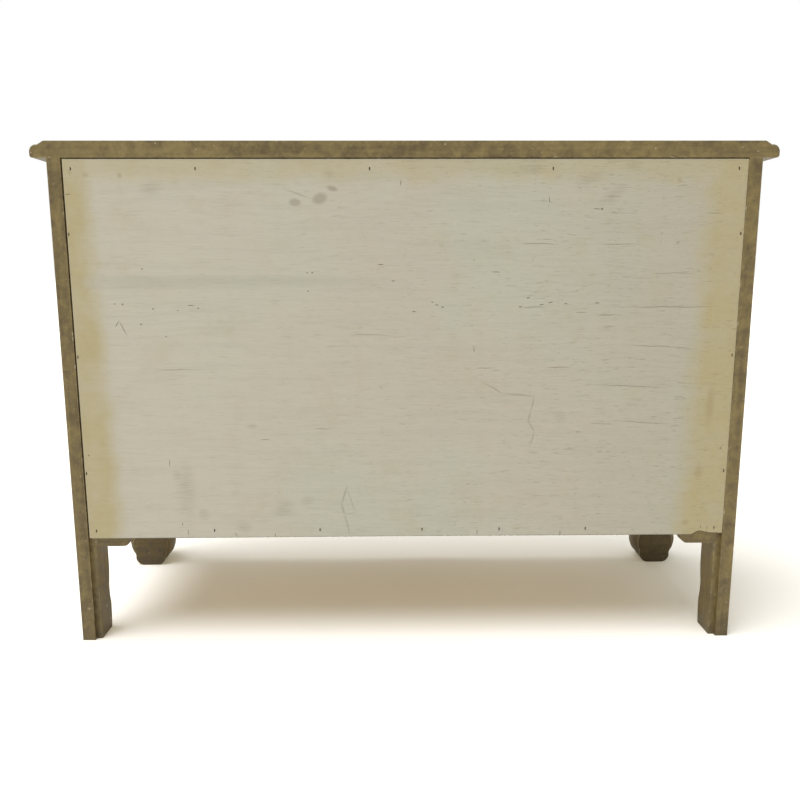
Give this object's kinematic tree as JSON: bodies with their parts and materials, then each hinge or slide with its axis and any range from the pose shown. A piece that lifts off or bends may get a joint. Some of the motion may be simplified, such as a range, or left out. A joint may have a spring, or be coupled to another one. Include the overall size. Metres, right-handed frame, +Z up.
{
  "type": "chiffonier",
  "caption": "Low painted cupboard with drawers over panelled doors, moulded top, square back legs, carved front legs and a nailed plywood back.",
  "frame": {"origin": "on the floor, at the middle of the footprint's bounding box", "axes": "+X towards the cupboard's right-hand side as it faces the user, along its width; -Y towards its front, where the doors and drawers open; +Z up"},
  "size_m": [1.228, 0.4379, 0.85],
  "materials": {
    "painted_wood": "mottled olive-gold antique paint, satin",
    "back_panel_ply": "pale grey-beige washed plywood, dull",
    "bare_wood": "unpainted secondary wood, dry",
    "aged_brass": "aged brass, soft shine",
    "lock_steel": "dark steel, oiled",
    "steel_fastener": "dull nail steel"
  },
  "bodies": {
    "carcass": {"back_bottom_rail": "painted_wood", "back_panel": "back_panel_ply", "back_panel_nails": "steel_fastener", "back_top_rail": "painted_wood", "bottom_board": "bare_wood", "drawer_divider": "painted_wood", "drawer_floor": "bare_wood", "drawer_guides": "bare_wood", "front_apron": "painted_wood", "front_leg_left": "painted_wood", "front_leg_right": "painted_wood", "front_middle_rail": "painted_wood", "front_top_rail": "painted_wood", "hinge_frame_halves": "aged_brass", "hinge_pins": "aged_brass", "rear_post_left": "painted_wood", "rear_post_right": "painted_wood", "shelf": "bare_wood", "side_bottom_rail_left": "painted_wood", "side_bottom_rail_right": "painted_wood", "side_panel_left": "painted_wood", "side_panel_right": "painted_wood", "side_top_rail_left": "painted_wood", "side_top_rail_right": "painted_wood", "support_cleats": "bare_wood", "top_board": "painted_wood", "top_screws": "steel_fastener"},
    "door_left": {"hinge_door_halves_left": "aged_brass", "door_bolt_brackets": "lock_steel", "door_left_bottom_rail": "painted_wood", "door_left_hinge_stile": "painted_wood", "door_left_key_plate": "aged_brass", "door_left_lock_stile": "painted_wood", "door_left_panel": "painted_wood", "door_left_top_rail": "painted_wood"},
    "door_right": {"hinge_door_halves_right": "aged_brass", "lock_case": "lock_steel", "door_right_bottom_rail": "painted_wood", "door_right_hinge_stile": "painted_wood", "door_right_key_plate": "aged_brass", "door_right_lock_stile": "painted_wood", "door_right_panel": "painted_wood", "door_right_top_rail": "painted_wood"},
    "drawer_left": {"drawer_left_back": "bare_wood", "drawer_left_bottom": "bare_wood", "drawer_left_front": "painted_wood", "drawer_left_inner_side": "bare_wood", "drawer_left_outer_side": "bare_wood", "drawer_left_pull_posts": "aged_brass"},
    "drawer_right": {"drawer_right_back": "bare_wood", "drawer_right_bottom": "bare_wood", "drawer_right_front": "painted_wood", "drawer_right_inner_side": "bare_wood", "drawer_right_outer_side": "bare_wood", "drawer_right_pull_posts": "aged_brass"},
    "bail_left": {"drawer_left_bail": "aged_brass"},
    "bail_right": {"drawer_right_bail": "aged_brass"},
    "key": {"key": "lock_steel"},
    "lock_bolt": {"lock_bolt": "lock_steel"},
    "door_bolt": {"door_bolt": "lock_steel"}
  },
  "joints": [
    {"name": "door_right_hinge", "type": "hinge", "parent": "carcass", "child": "door_right", "pos_m": [0.51125, -0.184, 0.4], "axis": [0, 0, 1], "range_deg": [0, 110]},
    {"name": "door_left_hinge", "type": "hinge", "parent": "carcass", "child": "door_left", "pos_m": [-0.51125, -0.184, 0.4], "axis": [0, 0, -1], "range_deg": [0, 110]},
    {"name": "drawer_right_slide", "type": "slide", "parent": "carcass", "child": "drawer_right", "axis": [0, -1, 0], "range_m": [0, 0.28]},
    {"name": "drawer_left_slide", "type": "slide", "parent": "carcass", "child": "drawer_left", "axis": [0, -1, 0], "range_m": [0, 0.28]},
    {"name": "bail_right_swing", "type": "hinge", "parent": "drawer_right", "child": "bail_right", "pos_m": [0.2605, -0.193, 0.7145], "axis": [-1, 0, 0], "range_deg": [0, 100]},
    {"name": "bail_left_swing", "type": "hinge", "parent": "drawer_left", "child": "bail_left", "pos_m": [-0.2605, -0.193, 0.7145], "axis": [-1, 0, 0], "range_deg": [0, 100]},
    {"name": "key_turn", "type": "hinge", "parent": "door_right", "child": "key", "pos_m": [0.0295, -0.177, 0.432], "axis": [0, 1, 0], "range_deg": [0, 90]},
    {"name": "lock_bolt_slide", "type": "slide", "parent": "door_right", "child": "lock_bolt", "axis": [-1, 0, 0], "range_m": [0, 0.009]},
    {"name": "door_bolt_slide", "type": "slide", "parent": "door_left", "child": "door_bolt", "axis": [0, 0, 1], "range_m": [0, 0.012]}
  ],
  "couplings": [
    {"joint": "lock_bolt_slide", "follows": "key_turn", "m_per_rad": 0.0057}
  ]
}
